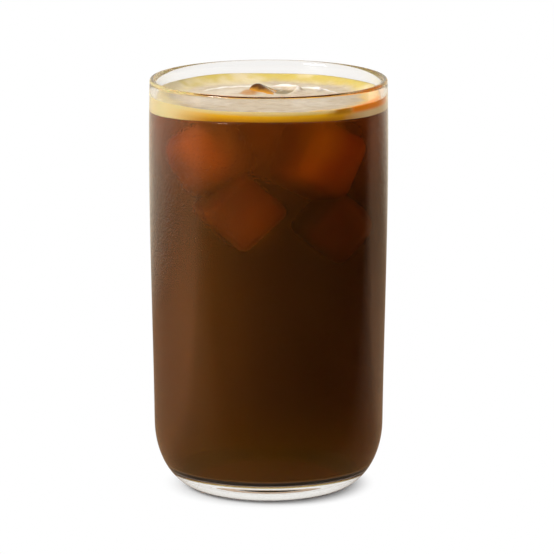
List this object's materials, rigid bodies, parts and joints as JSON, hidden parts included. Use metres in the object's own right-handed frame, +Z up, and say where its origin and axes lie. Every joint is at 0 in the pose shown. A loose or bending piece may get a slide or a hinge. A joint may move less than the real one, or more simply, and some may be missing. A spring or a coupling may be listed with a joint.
{
  "type": "iced coffee in a glass tumbler",
  "caption": "Iced americano in a clear straight tumbler with a heavy rounded heel: coffee, a golden crema layer and an ice cube breaking the surface.",
  "frame": {"origin": "on the table at the centre of the glass's foot", "axes": "+Z up along the glass's axis, -Y towards the viewer, +X to the viewer's right"},
  "size_m": [0.0766, 0.0766, 0.133],
  "materials": {
    "clear_glass": "polished clear glass",
    "coffee": "dark clear liquid, wet gloss",
    "crema": "fine foam, golden at the wall and pale beige on top",
    "ice": "wet ice stained by coffee"
  },
  "bodies": {
    "root": {"tumbler": "clear_glass", "coffee": "coffee", "crema": "crema", "ice_cube": "ice"}
  },
  "joints": []
}
